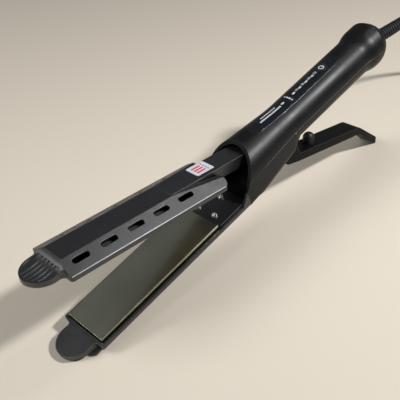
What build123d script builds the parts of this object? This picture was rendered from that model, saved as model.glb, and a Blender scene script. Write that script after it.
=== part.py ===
from build123d import *
import os
from math import asin, atan2, cos, degrees, hypot, pi, radians, sin, tan

os.makedirs("parts", exist_ok=True)

# A hair straightener of the scissor kind, lying open as in the photograph, in millimetres.
# One jaw is fixed to a round handle. The other jaw passes through the hood of the handle,
# turns on a pin and comes out below as a finger lever. It lies on the back of the lower jaw
# and on the end of the lever, so the handle slopes up toward the cord.

# Jaws: x counts from the pivot pin, the jaws lie at negative x
open_angle = 15.9
pivot_height = 6.9
plate_rear = 81.0
plate_length = 106.0
plate_width = 35.0
plate_skin = 1.6
plate_flange = 4.0
closed_gap = 0.3
plate_proud = 2.75
plate_gap = 1.0
jaw_wall = 1.8
jaw_depth = 12.0
jaw_band = 3.0
back_width = 17.2
back_round = 1.0
band_round = 1.5
end_wall = 2.5
upper_casing_rear = 65.0
lower_casing_rear = 52.0
throat_lead = 1.1
rear_corner = 5.0

# Grip tongues at the cool tips of the jaws
lobe_radius = 13.0
lobe_reach = 8.8
neck_fillet = 3.0
shoulder_fillet = 2.0
tongue_thickness = 2.9
tongue_slope_end = 7.0
tongue_foot_rise = 1.0
tongue_rim = 1.3
dish_depth = 0.7
dish_start = 3.0
rib_count = 5
rib_pitch = 3.4
rib_width = 1.3
rib_swing = 2.5
rib_bow_share = 0.85
rib_bow_past = 2.0

# Vent slots along the slanted sides
slot_count = 5
slot_pitch = 20.0
slot_length = 12.0
slot_width = 3.8
first_slot = 9.9
slot_lift = 5.0

# Heating parts under each plate
heater_length = 64.0
heater_width = 18.0
heater_thickness = 3.0
pad_length = 70.0
pad_width = 20.0
pad_thickness = 1.0
leaf_length = 52.0
leaf_width = 8.0
leaf_thickness = 0.6
sensor_length = 6.0
sensor_gap = 0.5
sensor_width = 4.0
sensor_thickness = 1.8
cover_thickness = 1.6
cover_corner = 1.5
cover_gap = 0.4
lower_cover_lift = 1.5
lower_cover_rear = 53.0
cover_boss_radius = 3.2
screw_radius = 1.2
screw_head_radius = 2.1
screw_head_height = 0.9
screw_slot = 0.6

# Handle shells, turned about one axis
handle_height = 9.6
cowl_radius = 20.2
cowl_reach = 50.0
cone_end = 8.0
cone_blend = 6.0
grip_radius = 15.0
grip_end = 93.0
butt_radius = 17.2
butt_swell_end = 106.0
butt_reach = 112.0
shell_wall = 2.4
belly_reach = 36.0
belly_foot = -13.5
belly_round = 9.5
neck_x = 4.0
neck_foot = -9.1
neck_round = 8.6
flare_lap = 1.0
rim_low_reach = 58.9
rim_low_height = -2.9
rim_rise = 32.7
rim_run = 28.0
rim_overrun = 1.2
rim_margin = 1.0
lever_slot_front = 10.5
lever_slot_rear = 21.0
lever_slot_gap = 0.6
lever_slot_round = 2.0
butt_overrun = 4.0
shell_boss_foot = -4.8

# Pivot
pin_radius = 2.0
pin_clearance = 0.05
hub_radius = 7.5
hub_half_width = 7.8
washer_gap = 0.3
washer_thickness = 1.2
washer_radius = 4.5
lug_thickness = 3.0
lug_half_length = 6.5
lug_top = 13.5
lug_round = 6.0
spring_wire = 1.0
spring_radius = 4.4
spring_turns = 4
spring_pitch = 1.25
spring_leg = 9.0
spring_pocket_width = 6.8
spring_pocket_radius = 5.6

# Arm of the upper jaw, from the casing back to the hub
arm_half_width = 7.8
arm_leaf_gap = 4.0
arm_underside = 3.4
arm_nose_depth = 7.2
arm_step = 3.0
arm_back_end = 30.0
arm_pad = 4.0
rear_drop = 3.0
sticker_length = 15.0
sticker_width = 12.0
sticker_thickness = 0.15
sticker_middle = 70.8
sticker_aside = 1.5

# Finger lever, in the frame of the upper jaw
lever_half_width = 8.0
lever_root_front = 3.0
lever_root_rear = 16.2
lever_start_x = 19.8
lever_start_z = -13.7
lever_bend_x = 94.0
lever_slope = 7.2
lever_tip_length = 36.0
lever_tip_slope = 37.6
lever_thickness = 6.3
lever_tip_thickness = 5.0
lever_tip_radius = 2.4
lever_wall = 1.8
lever_hollow_start = 26.0
lever_hollow_end = 90.0
lever_pockets = 4
lever_end_round = 5.0
lever_root_fillet = 4.0
lever_bend_fillet = 10.0
lever_knee_x = 6.85
lever_knee_z = -17.6
lever_front_z = -11.0
lever_screws = ((9.0, 4.5), (9.0, -4.5))
lever_screw_seat = -15.0
lever_screw_bite = 3.0
bumper_radius = 4.5
bumper_post = 4.6
bumper_place = 39.0

# Control panel on top of the grip
panel_front = -20.0
panel_rear = 74.0
panel_width = 13.0
panel_depth = 1.2
panel_proud = 0.15
power_button_x = 59.9
power_button_radius = 4.2
temperature_button_x = 21.8
temperature_button_length = 10.0
temperature_button_width = 2.6
button_gap = 0.3
button_rise = 0.35
button_travel = 0.6
button_flange = 1.0
first_light_x = 27.7
light_pitch = 7.15
light_count = 4
light_length = 3.2
light_width = 1.7
ready_light_x = 15.3
power_flange_height = 19.4
bar_flange_height = 19.4
board_front = 11.0
board_length = 60.0
board_width = 19.0
board_height = 13.4
board_thickness = 1.6
board_post_radius = 1.8
board_post_inset = 3.5
board_post_aside = 7.0
switch_size = 5.0
switch_height = 2.6
switch_stem = 0.6
press_clearance = 0.3
shell_screw_bite = 6.0

# Tail end: cap, swivel collar and ribbed strain relief
tail_droop = 12.0
cap_length = 13.0
cap_mouth_radius = 7.6
cap_wall = 2.4
cap_lip = 3.0
collar_neck_radius = 6.0
collar_flange_radius = 8.0
collar_flange_length = 2.2
collar_ring_radius = 7.2
collar_ring_length = 3.4
collar_gap = 0.3
boot_start_radius = 5.1
collar_slope_length = 1.4
collar_lip = 0.6
boot_end_radius = 4.3
boot_ribs = 15
boot_rib_pitch = 3.0
boot_rib_length = 1.9
boot_groove = 0.8
boot_tail = 4.0

# Cord, put away in a tied hank behind the handle, past the view
cord_diameter = 5.6
cord_inside = 20.0
hank_x = 372.0
hank_y = -7.0
hank_run = 112.0
hank_fold = 20.0
hank_gap = 0.8
hank_lean = 14.0
waist_radius = 30.0
climb_ease = 8.0
tie_thickness = 0.8
tie_width = 8.0
tie_gap = 0.4
plug_length = 36.0
plug_width = 35.3
plug_depth = 13.7
prong_radius = 2.0
prong_length = 19.0
prong_spacing = 18.6
plug_neck = 12.0
plug_neck_depth = 9.6
plug_neck_round = 2.0
plug_round = 3.0
prong_chamfer = 0.6
plug_taper = 12.0
plug_from_waist = 9.0
plug_clearance = 0.1
lead_straight = 18.0

# Places worked out from the sizes above
half_gap = closed_gap / 2
lip = half_gap + plate_proud
plate_front = plate_rear + plate_length
shoulder_reach = plate_front + end_wall
lobe_centre = shoulder_reach + lobe_reach - end_wall
tip_reach = lobe_centre + lobe_radius
jaw_half = plate_width / 2 + plate_gap + jaw_wall
back_half = back_width / 2
band_foot = lip + jaw_band
tongue_back = lip + tongue_thickness
floor_depth = jaw_depth - jaw_wall
slope_start = plate_front + 0.5
slope_foot = shoulder_reach + tongue_slope_end
skin_depth = half_gap + plate_skin
heater_depth = skin_depth + heater_thickness
pad_depth = heater_depth + pad_thickness
lug_start = hub_half_width + washer_gap + washer_thickness
arm_front = plate_rear + (plate_length - leaf_length) / 2 - arm_leaf_gap
cone_slope = (cowl_radius - grip_radius) / (cowl_reach + cone_end)
flare_end = cone_end + cone_blend
lever_fall = sin(radians(lever_slope)) / cos(radians(lever_slope))
lever_bend_z = lever_start_z - (lever_bend_x - lever_start_x) * lever_fall
tip_end_x = lever_bend_x + lever_tip_length * cos(radians(lever_tip_slope))
tip_end_z = lever_bend_z - lever_tip_length * sin(radians(lever_tip_slope))


def at_rest(x, z):
    """A point of the closed upper jaw, moved to where it lies when the jaw stands open."""
    turn = radians(open_angle)
    rise = z - pivot_height
    return (x * cos(turn) + rise * sin(turn), rise * cos(turn) - x * sin(turn) + pivot_height)


throat_start = rim_low_reach + throat_lead

# The part lies on two round edges: the front ridge of the lower back and the lever's end
toe_radius = 3.0
toe_x = -slope_start
toe_z = -(jaw_depth - toe_radius)
tip_turn = radians(lever_tip_slope)
tip_inset = lever_tip_thickness - lever_tip_radius
foot_x = tip_end_x - lever_tip_radius * cos(tip_turn) - tip_inset * sin(tip_turn)
foot_z = tip_end_z + lever_tip_radius * sin(tip_turn) - tip_inset * cos(tip_turn)
foot_rest = at_rest(foot_x, foot_z)
foot_span = hypot(foot_rest[0] - toe_x, foot_rest[1] - toe_z)
foot_drop = atan2(foot_rest[1] - toe_z, foot_rest[0] - toe_x)
lift = degrees(asin((lever_tip_radius - toe_radius) / foot_span) - foot_drop)
base_height = toe_radius - toe_x * sin(radians(lift)) - toe_z * cos(radians(lift))

# Ends of the whole length without the cord, seen from the pivot's foot
lean = radians(lift - open_angle)
front_end = pivot_height * (sin(lean) - sin(radians(lift)))
front_end -= tip_reach * cos(lean) + tongue_back * sin(lean)
boot_length = boot_ribs * boot_rib_pitch + boot_tail
tail_reach = cap_length + collar_gap + collar_ring_length + boot_length
tail_tilt = radians(lift - tail_droop)
rear_end = (
    butt_reach * cos(radians(lift))
    - handle_height * sin(radians(lift))
    + tail_reach * cos(tail_tilt)
    + boot_end_radius * abs(sin(tail_tilt))
)
base_x = -(front_end + rear_end) / 2

# Frames: the handle's, the lower jaw's (z points down) and the open upper jaw's
handle = Plane(
    origin=(base_x, 0, base_height),
    x_dir=(cos(radians(lift)), 0, sin(radians(lift))),
    z_dir=(-sin(radians(lift)), 0, cos(radians(lift))),
)
lower = Plane(origin=handle.origin, x_dir=handle.x_dir, z_dir=handle.z_dir * -1)
pivot = handle.from_local_coords(Vector(0, 0, pivot_height))
upper_z = Vector(-sin(lean), 0, cos(lean))
upper = Plane(origin=pivot - upper_z * pivot_height, x_dir=(cos(lean), 0, sin(lean)), z_dir=upper_z)
tail_origin = handle.from_local_coords(Vector(butt_reach, 0, handle_height))
tail_dir = Vector(cos(tail_tilt), 0, sin(tail_tilt))


def point(frame, x, y, z):
    return frame.from_local_coords(Vector(x, y, z))


def level(frame, z):
    """Plane parallel to the plates, at z in the frame."""
    return frame.offset(z)


def section(frame, x):
    """Plane square to the length at x: its x runs sideways, its y along the frame's z."""
    return Plane(point(frame, x, 0, 0), x_dir=frame.y_dir, z_dir=frame.x_dir)


def side(frame, y=0):
    """Plane of the side view: its x runs along the length, its y along the frame's z."""
    return Plane(point(frame, 0, y, 0), x_dir=frame.x_dir, z_dir=frame.y_dir * -1)


handle_axis = Axis(point(handle, 0, 0, handle_height), handle.x_dir)
tail_side = Plane(tail_origin, x_dir=tail_dir, z_dir=handle.y_dir * -1)
tail_axis = Axis(tail_origin, tail_dir)
tail_cut = Plane(tail_origin, z_dir=tail_dir)


def finish(piece, name):
    """Name a finished piece and write it to its own file."""
    piece.part.label = name
    export_step(piece.part, f"parts/{name}.step")


def jaw_corners(inset):
    """Side, band foot, back half width and back depth of a jaw's section, drawn in by inset."""
    run = jaw_half - back_half
    fall = jaw_depth - band_foot
    slant = hypot(run, fall)
    reach = (fall * jaw_half + run * band_foot) / slant - inset
    side_y = jaw_half - inset
    back_z = jaw_depth - inset
    band_z = (reach - fall * side_y / slant) * slant / run
    back_y = (reach - run * back_z / slant) * slant / fall
    return side_y, band_z, back_y, back_z


def jaw_outline(top, inset, flip=1):
    """Closed outline of a jaw's section with its open edge at top; flip -1 draws it downward."""
    side_y, band_z, back_y, back_z = jaw_corners(inset)
    Polyline(
        (side_y, top),
        (side_y, flip * band_z),
        (back_y, flip * back_z),
        (-back_y, flip * back_z),
        (-side_y, flip * band_z),
        (-side_y, top),
        close=True,
    )


def tongue_cut(drop):
    """Closed side outline of what is cut away outside the tongue, lowered by drop."""
    foot = tongue_back + tongue_foot_rise - drop
    Line((-slope_start, jaw_depth + 1), (-slope_start, jaw_depth - drop))
    Spline((-slope_start, jaw_depth - drop), (-slope_foot, foot), tangents=[(-1, -1.6), (-1, -0.08)])
    Line((-slope_foot, foot), (-tip_reach - 1, tongue_back - drop))
    Line((-tip_reach - 1, tongue_back - drop), (-tip_reach - 1, jaw_depth + 1))
    Line((-tip_reach - 1, jaw_depth + 1), (-slope_start, jaw_depth + 1))


def make_dish(frame):
    """What is hollowed out of the tongue's outer face, with curved grip ribs left standing."""
    with BuildPart() as dish:
        with BuildSketch(level(frame, lip)):
            with Locations((-lobe_centre, 0)):
                Circle(lobe_radius - tongue_rim)
            with Locations((-slope_start - dish_start, 0)):
                Rectangle(lobe_radius, 2 * lobe_radius, align=(Align.MIN, Align.CENTER), mode=Mode.SUBTRACT)
            for index in range(rib_count):
                place = (index - (rib_count - 1) / 2) * rib_pitch + rib_swing / 2
                near = place - rib_width / 2
                far = place + rib_width / 2
                with BuildLine():
                    ThreePointArc(
                        (-slope_start, near),
                        (-lobe_centre - rib_bow_past, near - rib_bow_share * rib_swing),
                        (-tip_reach, near - rib_swing),
                    )
                    Line((-tip_reach, near - rib_swing), (-tip_reach, far - rib_swing))
                    ThreePointArc(
                        (-tip_reach, far - rib_swing),
                        (-lobe_centre - rib_bow_past, far - rib_bow_share * rib_swing),
                        (-slope_start, far),
                    )
                    Line((-slope_start, far), (-slope_start, near))
                make_face(mode=Mode.SUBTRACT)
        extrude(amount=jaw_depth)
        with BuildSketch(side(frame)):
            with BuildLine():
                tongue_cut(dish_depth)
            make_face()
        extrude(amount=jaw_half, both=True, mode=Mode.INTERSECT)
    return dish.part


def make_casing(frame, rear, trough_rear, corner):
    """Trough of one jaw with its grip tongue and vent slots, in the frame's own coordinates."""
    dish = make_dish(frame)
    with BuildPart() as casing:
        with BuildSketch(level(frame, lip)) as plan:
            with Locations((-(shoulder_reach + rear) / 2, 0)):
                Rectangle(shoulder_reach - rear, 2 * jaw_half)
            with Locations((-lobe_centre, 0)):
                Circle(lobe_radius)
            fronts = plan.vertices().filter_by(lambda spot: abs(spot.X + shoulder_reach) < 0.1)
            fillet(fronts.filter_by(lambda spot: abs(spot.Y) < lobe_radius + 0.1), neck_fillet)
            fronts = plan.vertices().filter_by(lambda spot: abs(spot.X + shoulder_reach) < 0.1)
            fillet(fronts.filter_by(lambda spot: abs(spot.Y) > jaw_half - 0.1), shoulder_fillet)
            if corner > 0:
                rears = plan.vertices().filter_by_position(Axis.X, -rear - 0.1, -rear + 0.1)
                fillet(rears, corner)
        extrude(amount=jaw_depth - lip)
        with BuildSketch(section(frame, -tip_reach - 1)) as shape:
            with BuildLine():
                jaw_outline(lip, 0)
            make_face()
            backs = shape.vertices().filter_by_position(Axis.Y, jaw_depth - 0.1, jaw_depth + 0.1)
            fillet(backs, back_round)
            bands = shape.vertices().filter_by_position(Axis.Y, band_foot - 0.1, band_foot + 0.1)
            fillet(bands, band_round)
        extrude(amount=tip_reach, mode=Mode.INTERSECT)
        # the tongue's outer face falls from the ridge of the back in a hollow curve
        with BuildSketch(side(frame)):
            with BuildLine():
                tongue_cut(0)
            make_face()
        extrude(amount=jaw_half + 1, both=True, mode=Mode.SUBTRACT)
        add(dish, mode=Mode.SUBTRACT)
        # the trough for the heating parts
        with BuildSketch(section(frame, -trough_rear)):
            with BuildLine():
                jaw_outline(lip - 1, jaw_wall)
            make_face()
        extrude(amount=-(shoulder_reach - jaw_wall - trough_rear), mode=Mode.SUBTRACT)
        # vent slots through both slanted sides
        run = jaw_half - back_half
        fall = jaw_depth - band_foot
        part_way = slot_lift / hypot(run, fall)
        middle = -(plate_front - first_slot - slot_pitch * (slot_count - 1) / 2)
        for hand in (1, -1):
            face = Plane(
                point(frame, 0, hand * (back_half + run * part_way), jaw_depth - fall * part_way),
                x_dir=frame.x_dir,
                z_dir=frame.y_dir * (hand * fall) + frame.z_dir * run,
            )
            with BuildSketch(face):
                with Locations((middle, 0)):
                    with GridLocations(slot_pitch, 1, slot_count, 1):
                        SlotOverall(slot_length, slot_width)
            extrude(amount=2 * jaw_wall, both=True, mode=Mode.SUBTRACT)
    return casing.part


def make_plate(frame, name):
    """Heating plate: a flat skin with a flange turned down along each long side."""
    with BuildPart() as plate:
        with BuildSketch(section(frame, -plate_rear)) as shape:
            with Locations((0, half_gap)):
                Rectangle(plate_width, plate_flange, align=(Align.CENTER, Align.MIN))
            edges_up = shape.vertices().filter_by_position(Axis.Y, half_gap - 0.1, half_gap + 0.1)
            fillet(edges_up, 0.9)
            with Locations((0, skin_depth)):
                Rectangle(
                    plate_width - 2 * plate_skin,
                    plate_flange,
                    align=(Align.CENTER, Align.MIN),
                    mode=Mode.SUBTRACT,
                )
        extrude(amount=-plate_length)
    finish(plate, name)


def make_block(frame, name, length, width, thickness, depth, middle, aside=0.0):
    """Plain block lying flat under a plate."""
    with BuildPart() as block:
        with BuildSketch(level(frame, depth)):
            with Locations((-middle, aside)):
                RectangleRounded(length, width, min(length, width) / 8)
        extrude(amount=thickness)
    finish(block, name)


def make_leaf(frame, name, middle):
    """Bowed leaf spring between the floor of the trough and the insulation pad."""
    half = leaf_length / 2
    with BuildPart() as leaf:
        with BuildSketch(side(frame)):
            with BuildLine():
                ThreePointArc(
                    (-middle - half, floor_depth - leaf_thickness),
                    (-middle, pad_depth),
                    (-middle + half, floor_depth - leaf_thickness),
                )
                Line((-middle + half, floor_depth - leaf_thickness), (-middle + half, floor_depth))
                ThreePointArc(
                    (-middle + half, floor_depth),
                    (-middle, pad_depth + leaf_thickness),
                    (-middle - half, floor_depth),
                )
                Line((-middle - half, floor_depth), (-middle - half, floor_depth - leaf_thickness))
            make_face()
        extrude(amount=leaf_width / 2, both=True)
    finish(leaf, name)


plate_middle = plate_rear + plate_length / 2
sensor_aside = (heater_width + sensor_width) / 2 + sensor_gap
for frame, jaw in ((lower, "lower"), (upper, "upper")):
    make_plate(frame, f"{jaw}_heating_plate")
    heater_size = (heater_length, heater_width, heater_thickness)
    make_block(frame, f"{jaw}_heater", *heater_size, skin_depth, plate_middle)
    pad_size = (pad_length, pad_width, pad_thickness)
    make_block(frame, f"{jaw}_insulation_pad", *pad_size, heater_depth, plate_middle)
    make_leaf(frame, f"{jaw}_leaf_spring", plate_middle)
    make_block(
        frame,
        f"{jaw}_temperature_sensor",
        sensor_length,
        sensor_width,
        sensor_thickness,
        skin_depth,
        plate_middle,
        sensor_aside,
    )

def rim_outline():
    """Side outline of the space in front of the oblique rim of the hood, above the jaw's lip."""
    top_x = -rim_low_reach + rim_overrun * rim_run
    top_z = rim_low_height + rim_overrun * rim_rise
    Polyline(
        (-throat_start - rim_margin, rim_low_height),
        (-rim_low_reach, rim_low_height),
        (top_x, top_z),
        (-throat_start - rim_margin, top_z),
        close=True,
    )


# Lower jaw casing: the trough runs on under the hood, with raised side walls up to the rim
cover_screws = ((-75.0, 8.0), (-75.0, -8.0), (-60.0, 0.0))
cover_foot = -lip + lower_cover_lift - cover_thickness
boss_foot = -floor_depth - 0.2
lower_base = make_casing(lower, throat_start, throat_start - rim_margin, 0)
with BuildPart() as lower_jaw_casing:
    with BuildSketch(section(handle, -throat_start)) as shape:
        with BuildLine():
            jaw_outline(handle_height, 0, -1)
        make_face()
        fillet(shape.vertices().filter_by_position(Axis.Y, -jaw_depth - 0.1, -jaw_depth + 0.1), back_round)
        fillet(shape.vertices().filter_by_position(Axis.Y, -band_foot - 0.1, -band_foot + 0.1), band_round)
    extrude(amount=throat_start - lower_casing_rear)
    with BuildSketch(section(handle, -throat_start)):
        with BuildLine():
            jaw_outline(handle_height + 1, jaw_wall, -1)
        make_face()
    extrude(amount=throat_start - lower_casing_rear, mode=Mode.SUBTRACT)
    with BuildSketch(side(handle)):
        with BuildLine():
            rim_outline()
        make_face()
    extrude(amount=jaw_half + 1, both=True, mode=Mode.SUBTRACT)
    add(lower_base)
    with BuildSketch(level(handle, boss_foot)):
        with Locations(*cover_screws):
            Circle(cover_boss_radius)
    extrude(amount=cover_foot - boss_foot)
    with BuildSketch(level(handle, boss_foot + 1)):
        with Locations(*cover_screws):
            Circle(screw_radius)
    extrude(amount=cover_foot - boss_foot, mode=Mode.SUBTRACT)
finish(lower_jaw_casing, "lower_jaw_casing")

with BuildPart() as lower_jaw_cover:
    cover_front = plate_rear - cover_gap
    with BuildSketch(level(handle, cover_foot)):
        with Locations((-(cover_front + lower_cover_rear) / 2, 0)):
            RectangleRounded(
                cover_front - lower_cover_rear,
                2 * (jaw_half - jaw_wall - cover_gap),
                cover_corner,
            )
        with Locations(*cover_screws):
            Circle(screw_radius, mode=Mode.SUBTRACT)
    extrude(amount=cover_thickness)
finish(lower_jaw_cover, "lower_jaw_cover")

for index, (x, y) in enumerate(cover_screws):
    with BuildPart() as screw:
        with BuildSketch(level(handle, boss_foot + 1)):
            with Locations((x, y)):
                Circle(screw_radius)
        extrude(amount=cover_foot + cover_thickness - boss_foot - 1)
        with BuildSketch(level(handle, cover_foot + cover_thickness)):
            with Locations((x, y)):
                Circle(screw_head_radius)
        extrude(amount=screw_head_height)
        with BuildSketch(level(handle, cover_foot + cover_thickness + screw_head_height)):
            with Locations((x, y)):
                Rectangle(2 * screw_radius, screw_slot)
                Rectangle(screw_slot, 2 * screw_radius)
        extrude(amount=-screw_head_height / 2, mode=Mode.SUBTRACT)
    finish(screw, f"cover_screw_{index + 1}")

# Upper jaw casing, with a bay in its back for the arm
upper_base = make_casing(upper, upper_casing_rear, upper_casing_rear + jaw_wall, rear_corner)
with BuildPart() as upper_jaw_casing:
    add(upper_base)
    with BuildSketch(side(upper)):
        with BuildLine():
            Polyline(
                (-arm_front, jaw_depth),
                (-upper_casing_rear + 1, jaw_depth - rear_drop),
                (-upper_casing_rear + 1, jaw_depth + 1),
                (-arm_front, jaw_depth + 1),
                close=True,
            )
        make_face()
    extrude(amount=jaw_half + 1, both=True, mode=Mode.SUBTRACT)
    with BuildSketch(side(upper)):
        with BuildLine():
            Polyline(
                (-arm_front, jaw_depth + 1),
                (-arm_front, arm_nose_depth),
                (-plate_rear, arm_nose_depth),
                (-plate_rear + arm_step, arm_underside),
                (-upper_casing_rear + 1, arm_underside),
                (-upper_casing_rear + 1, jaw_depth + 1),
                close=True,
            )
        make_face()
    extrude(amount=arm_half_width, both=True, mode=Mode.SUBTRACT)
finish(upper_jaw_casing, "upper_jaw_casing")

with BuildPart() as upper_jaw_cover:
    with BuildSketch(level(upper, lip - lower_cover_lift)):
        with Locations((-(plate_rear - cover_gap + upper_casing_rear + jaw_wall + cover_gap) / 2, 0)):
            RectangleRounded(
                plate_rear - upper_casing_rear - jaw_wall - 2 * cover_gap,
                2 * (jaw_half - jaw_wall - cover_gap),
                1.5,
            )
    extrude(amount=cover_thickness)
finish(upper_jaw_cover, "upper_jaw_cover")

# Arm: flush with the back of the jaw, through the hood to the hub and down to the lever
with BuildPart() as upper_jaw_arm:
    with BuildSketch(side(upper)):
        with BuildLine():
            Polyline(
                (-arm_front, jaw_depth),
                (-arm_front, arm_nose_depth),
                (-plate_rear, arm_nose_depth),
                (-plate_rear + arm_step, arm_underside),
                (-hub_radius, arm_underside),
                (-lever_root_front, -arm_pad),
                (lever_root_rear, -arm_pad),
                (lever_root_rear, -arm_pad / 4),
                (hub_radius, pivot_height),
                (0, pivot_height + hub_radius),
                (-arm_back_end, jaw_depth),
                close=True,
            )
        make_face()
        with Locations((0, pivot_height)):
            Circle(hub_radius)
            Circle(pin_radius + pin_clearance, mode=Mode.SUBTRACT)
    extrude(amount=arm_half_width, both=True)
    with BuildSketch(side(upper)):
        with Locations((0, pivot_height)):
            Circle(spring_pocket_radius)
            Rectangle(2 * hub_radius, 1.2 * hub_radius, align=(Align.MIN, Align.MIN))
    extrude(amount=spring_pocket_width / 2, both=True, mode=Mode.SUBTRACT)
    with BuildSketch(level(upper, -arm_pad)):
        with Locations(*lever_screws):
            Circle(screw_radius)
    extrude(amount=lever_screw_bite, mode=Mode.SUBTRACT)
finish(upper_jaw_arm, "upper_jaw_arm")

with BuildPart() as sticker:
    with BuildSketch(level(upper, jaw_depth)):
        with Locations((-sticker_middle, sticker_aside)):
            RectangleRounded(sticker_length, sticker_width, 1.0)
    extrude(amount=sticker_thickness)
finish(sticker, "sticker")


def lever_top(x):
    """Height of the lever's upper face, in front of its bend."""
    return lever_start_z - (x - lever_start_x) * lever_fall


# Lever: root block, long blade and a tip that curls away from the handle
bend_below = (lever_bend_x, lever_bend_z - lever_thickness)
tip_below = (
    tip_end_x - lever_tip_thickness * sin(tip_turn),
    tip_end_z - lever_tip_thickness * cos(tip_turn),
)
lever_length = tip_end_x + lever_root_front
with BuildPart() as lever:
    with BuildSketch(side(upper)) as profile:
        with BuildLine():
            Polyline(
                (-lever_root_front, -arm_pad),
                (lever_root_rear, -arm_pad),
                (lever_start_x, lever_start_z),
                (lever_bend_x, lever_bend_z),
                (tip_end_x, tip_end_z),
                tip_below,
                bend_below,
                (lever_start_x, lever_start_z - lever_thickness),
                (lever_knee_x, lever_knee_z),
                (-lever_root_front, lever_front_z),
                close=True,
            )
        make_face()
        root_corner = (lever_start_x, lever_start_z)
        fillet(profile.vertices().sort_by_distance(root_corner)[0], lever_root_fillet)
        bend_above = (lever_bend_x, lever_bend_z)
        fillet(profile.vertices().sort_by_distance(bend_above)[0], lever_bend_fillet)
        fillet(profile.vertices().sort_by_distance(bend_below)[0], lever_bend_fillet)
        ends = profile.vertices().sort_by(Axis.X)[-2:]
        fillet(ends, lever_tip_radius)
    extrude(amount=lever_half_width, both=True)
    with BuildSketch(level(upper, -arm_pad)):
        with Locations((-lever_root_front, 0)):
            RectangleRounded(
                lever_length,
                2 * lever_half_width,
                lever_end_round,
                align=(Align.MIN, Align.CENTER),
            )
            Rectangle(lever_length / 2, 2 * lever_half_width, align=(Align.MIN, Align.CENTER))
    extrude(amount=-lever_length, mode=Mode.INTERSECT)
    pocket_span = (lever_hollow_end - lever_hollow_start) / lever_pockets
    for index in range(lever_pockets):
        near = lever_hollow_start + index * pocket_span
        far = near + pocket_span - lever_wall
        with BuildSketch(side(upper)):
            with BuildLine():
                Polyline(
                    (near, lever_top(near) - lever_wall),
                    (far, lever_top(far) - lever_wall),
                    (far, lever_top(far) - 2 * lever_thickness),
                    (near, lever_top(near) - 2 * lever_thickness),
                    close=True,
                )
            make_face()
        extrude(amount=lever_half_width - lever_wall, both=True, mode=Mode.SUBTRACT)
    with BuildSketch(level(upper, -arm_pad)):
        with Locations(*lever_screws):
            Circle(screw_radius)
    extrude(amount=-lever_length, mode=Mode.SUBTRACT)
    with BuildSketch(level(upper, lever_screw_seat)):
        with Locations(*lever_screws):
            Circle(screw_head_radius)
    extrude(amount=-lever_length, mode=Mode.SUBTRACT)
finish(lever, "lever")

for index, (x, y) in enumerate(lever_screws):
    with BuildPart() as screw:
        with BuildSketch(level(upper, lever_screw_seat)):
            with Locations((x, y)):
                Circle(screw_radius)
        extrude(amount=lever_screw_bite - arm_pad - lever_screw_seat)
        with BuildSketch(level(upper, lever_screw_seat)):
            with Locations((x, y)):
                Circle(screw_head_radius)
        extrude(amount=-screw_head_height)
    finish(screw, f"lever_screw_{index + 1}")

# Rubber stop on the lever, which meets the underside of the handle when the jaws are shut
stop_turn = radians(lever_slope)
stop_origin = point(upper, bumper_place, 0, lever_top(bumper_place))
stop_dir = upper.x_dir * sin(stop_turn) + upper.z_dir * cos(stop_turn)
stop_side = Plane(stop_origin, x_dir=stop_dir, z_dir=upper.y_dir)
with BuildPart() as lever_bumper:
    with BuildSketch(stop_side):
        with BuildLine():
            Line((0, 0), (0, bumper_radius))
            Line((0, bumper_radius), (bumper_post, bumper_radius))
            CenterArc((bumper_post, 0), bumper_radius, 0, 90)
            Line((bumper_post + bumper_radius, 0), (0, 0))
        make_face()
    revolve(axis=Axis(stop_origin, stop_dir))
finish(lever_bumper, "lever_bumper")

# Pivot: pin through two lugs of the lower shell, washers and a torsion spring
cross = Plane(pivot, x_dir=handle.x_dir, z_dir=handle.y_dir)
pin_half = lug_start + lug_thickness
with BuildPart() as pivot_pin:
    with BuildSketch(cross):
        Circle(pin_radius)
    extrude(amount=pin_half, both=True)
    chamfer(pivot_pin.edges(), 0.3)
finish(pivot_pin, "pivot_pin")

for index, start in enumerate((hub_half_width + washer_gap, -lug_start)):
    with BuildPart() as washer:
        with BuildSketch(cross.offset(start)):
            Circle(washer_radius)
            Circle(pin_radius, mode=Mode.SUBTRACT)
        extrude(amount=washer_thickness)
    finish(washer, f"pivot_washer_{index + 1}")

spring_height = spring_turns * spring_pitch
spring_plane = Plane(pivot - handle.y_dir * (spring_height / 2), x_dir=handle.z_dir, z_dir=handle.y_dir)
with BuildPart() as return_spring:
    with BuildLine() as spring_line:
        add(spring_plane.location * Helix(spring_pitch, spring_height, spring_radius, mode=Mode.PRIVATE))
    coil = spring_line.edges()[0]
    with BuildSketch(Plane(coil.position_at(0), z_dir=coil.tangent_at(0))):
        Circle(spring_wire / 2)
    sweep(is_frenet=True)
    with BuildSketch(Plane(coil.position_at(1), z_dir=handle.x_dir)):
        Circle(spring_wire / 2)
    extrude(amount=spring_leg)
finish(return_spring, "return_spring")


# Handle: two turned shells that part along a level through the axis
def cone_radius(x):
    """Radius of the hood's cone, which narrows toward the grip."""
    return grip_radius + (cone_end - x) * cone_slope


def turned_outline(offset, start, hand):
    """Half outline of the handle beside its axis, grown by offset; hand is the side it lies on."""
    grip = hand * (grip_radius + offset)
    butt = hand * (butt_radius + offset)
    blend_start = cone_end - cone_blend
    grip_start = cone_end + cone_blend
    end = butt_reach + 2 * butt_overrun
    if start < blend_start:
        front = hand * (cone_radius(start) + offset)
        blend = hand * (cone_radius(blend_start) + offset)
        Line((start, 0), (start, front))
        Line((start, front), (blend_start, blend))
        ends = [(1, -hand * cone_slope), (1, 0)]
        Spline((blend_start, blend), (grip_start, grip), tangents=ends)
    else:
        grip_start = start
        Line((start, 0), (start, grip))
    Line((grip_start, grip), (grip_end, grip))
    Spline((grip_end, grip), (butt_swell_end, butt), tangents=[(1, 0), (1, 0)])
    Line((butt_swell_end, butt), (end, butt))
    Line((end, butt), (end, 0))
    Line((end, 0), (start, 0))


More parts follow.
